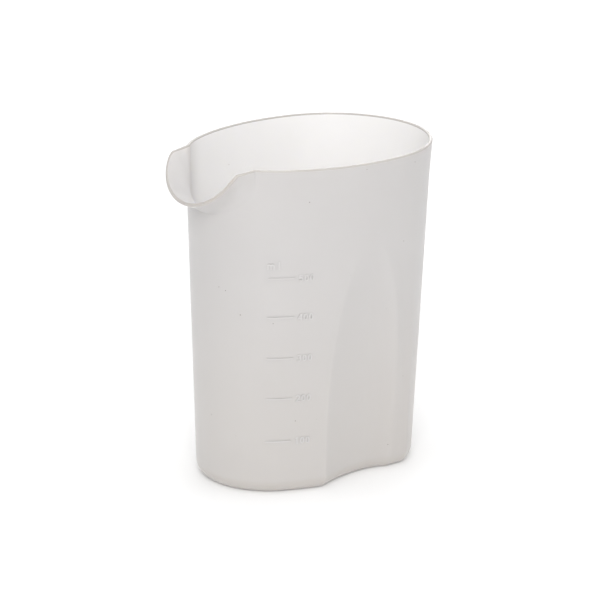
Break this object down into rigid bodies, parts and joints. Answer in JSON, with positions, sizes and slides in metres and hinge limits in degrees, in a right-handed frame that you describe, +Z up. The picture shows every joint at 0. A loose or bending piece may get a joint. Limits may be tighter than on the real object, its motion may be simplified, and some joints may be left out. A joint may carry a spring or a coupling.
{
  "type": "urine bottle",
  "caption": "Open oval measuring jug for urine, with a flared pouring spout at one end, a finger grip sunk into each long side and raised graduations.",
  "frame": {"origin": "centre of the bounding box in X and Y, on the table at Z = 0", "axes": "+Z up, along the height; -X towards the spout; -Y towards the side with the graduations"},
  "size_m": [0.1166, 0.0858, 0.14],
  "materials": {
    "natural_plastic": "satin, translucent natural polypropylene",
    "marks": "satin, the same moulded plastic, seen darker because it is thicker"
  },
  "bodies": {
    "root": {"base": "natural_plastic", "wall": "natural_plastic", "spout": "natural_plastic", "near_grip": "natural_plastic", "far_grip": "natural_plastic", "line_100": "marks", "line_200": "marks", "line_300": "marks", "line_400": "marks", "line_500": "marks", "number_100": "marks", "number_200": "marks", "number_300": "marks", "number_400": "marks", "number_500": "marks", "unit_ml": "marks"}
  },
  "joints": []
}
